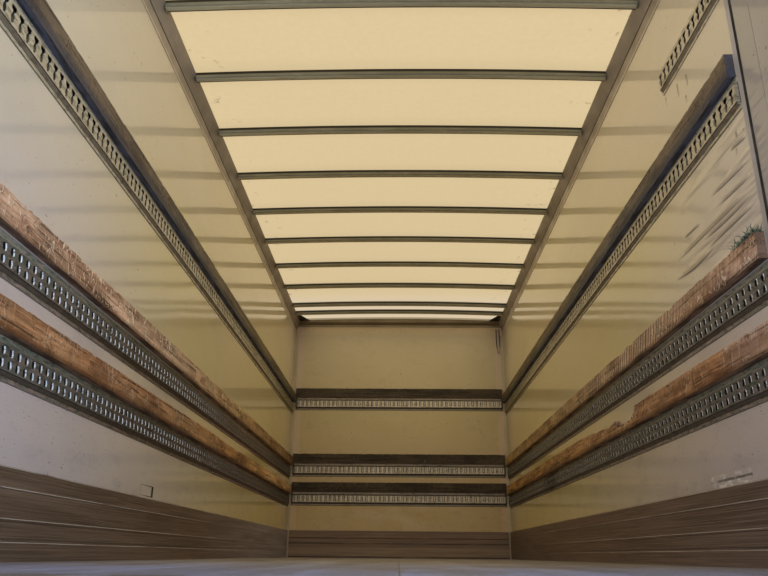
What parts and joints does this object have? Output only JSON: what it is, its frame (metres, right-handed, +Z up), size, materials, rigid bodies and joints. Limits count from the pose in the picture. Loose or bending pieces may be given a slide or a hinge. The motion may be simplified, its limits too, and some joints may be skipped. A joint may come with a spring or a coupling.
{
  "type": "truck box body",
  "caption": "Closed dry-freight body of a box truck with lashing rails, battens, translucent roof, hinged rear leaves and a side door, on its own long bearers.",
  "frame": {"origin": "bottom centre of the body's bounding box, on the ground under the long bearers", "axes": "X right, seen from the open rear; Y forward to the front wall; Z up"},
  "size_m": [2.712, 8.523, 2.9695],
  "materials": {
    "deck_ply": "dark brown phenolic-faced plywood, worn matt",
    "frame_steel": "grey painted steel",
    "aluminium": "mill-finish aluminium, dull",
    "wall_panel": "glossy cream plastic-faced plywood, slightly yellowed",
    "roof_rail": "weathered grey-brown aluminium",
    "galvanised": "dull galvanised steel",
    "roof_sheet": "translucent cream glass-fibre sheet",
    "rubber": "black rubber",
    "rail_light": "light olive galvanised steel",
    "rail_dark": "dark grey-green steel",
    "batten_wood": "worn, splintered softwood",
    "kick_ply": "dark brown grooved board, scuffed",
    "lamp_amber": "amber lamp lens"
  },
  "bodies": {
    "body": {"floor_deck": "deck_ply", "cross_bearers": "frame_steel", "long_bearer_left": "frame_steel", "long_bearer_right": "frame_steel", "mounting_consoles": "frame_steel", "side_rave_left": "aluminium", "side_rave_right": "aluminium", "front_sill": "aluminium", "wall_left": "wall_panel", "wall_right_front": "wall_panel", "wall_right_rear": "wall_panel", "wall_right_over_door": "wall_panel", "front_wall": "wall_panel", "front_post_left": "aluminium", "front_post_right": "aluminium", "cant_rail_left": "roof_rail", "cant_rail_right": "roof_rail", "front_header": "roof_rail", "roof_bows": "galvanised", "roof_gussets": "galvanised", "roof_sheet": "roof_sheet", "rear_post_left": "frame_steel", "rear_post_right": "frame_steel", "rear_header": "frame_steel", "rear_sill": "frame_steel", "rear_hinge_ears": "frame_steel", "lock_keepers": "galvanised", "rear_buffers": "rubber", "door_stops": "rubber", "marker_lamps": "lamp_amber", "side_rail_upper_left": "rail_light", "side_rail_upper_right": "rail_light", "side_rail_short": "rail_light", "side_rails_low_left": "rail_dark", "side_rails_low_right": "rail_dark", "front_rails": "rail_light", "side_battens_left": "batten_wood", "side_battens_right": "batten_wood", "front_battens": "batten_wood", "kick_board_left": "kick_ply", "kick_board_right": "kick_ply", "kick_board_front": "kick_ply", "side_door_frame": "aluminium", "side_door_step": "aluminium", "side_door_brackets": "galvanised"},
    "rear_door_left": {"rear_leaf_left": "wall_panel", "rear_seal_left": "rubber", "rear_hinges_left": "galvanised", "rear_locks_left": "galvanised"},
    "rear_door_right": {"rear_leaf_right": "wall_panel", "rear_seal_right": "rubber", "rear_hinges_right": "galvanised", "rear_locks_right": "galvanised"},
    "side_door": {"side_door_leaf": "wall_panel", "side_door_hinges": "galvanised", "side_door_handle": "galvanised", "side_door_seal": "rubber"}
  },
  "joints": [
    {"name": "rear_hinge_left", "type": "hinge", "parent": "body", "child": "rear_door_left", "pos_m": [-1.275, -4.2495, 1.5], "axis": [0, 0, 1], "range_deg": [0, 270]},
    {"name": "rear_hinge_right", "type": "hinge", "parent": "body", "child": "rear_door_right", "pos_m": [1.275, -4.2495, 1.5], "axis": [0, 0, -1], "range_deg": [0, 270]},
    {"name": "side_hinge", "type": "hinge", "parent": "body", "child": "side_door", "pos_m": [1.285, -2.0795, 1.4], "axis": [0, 0, 1], "range_deg": [0, 170]}
  ]
}
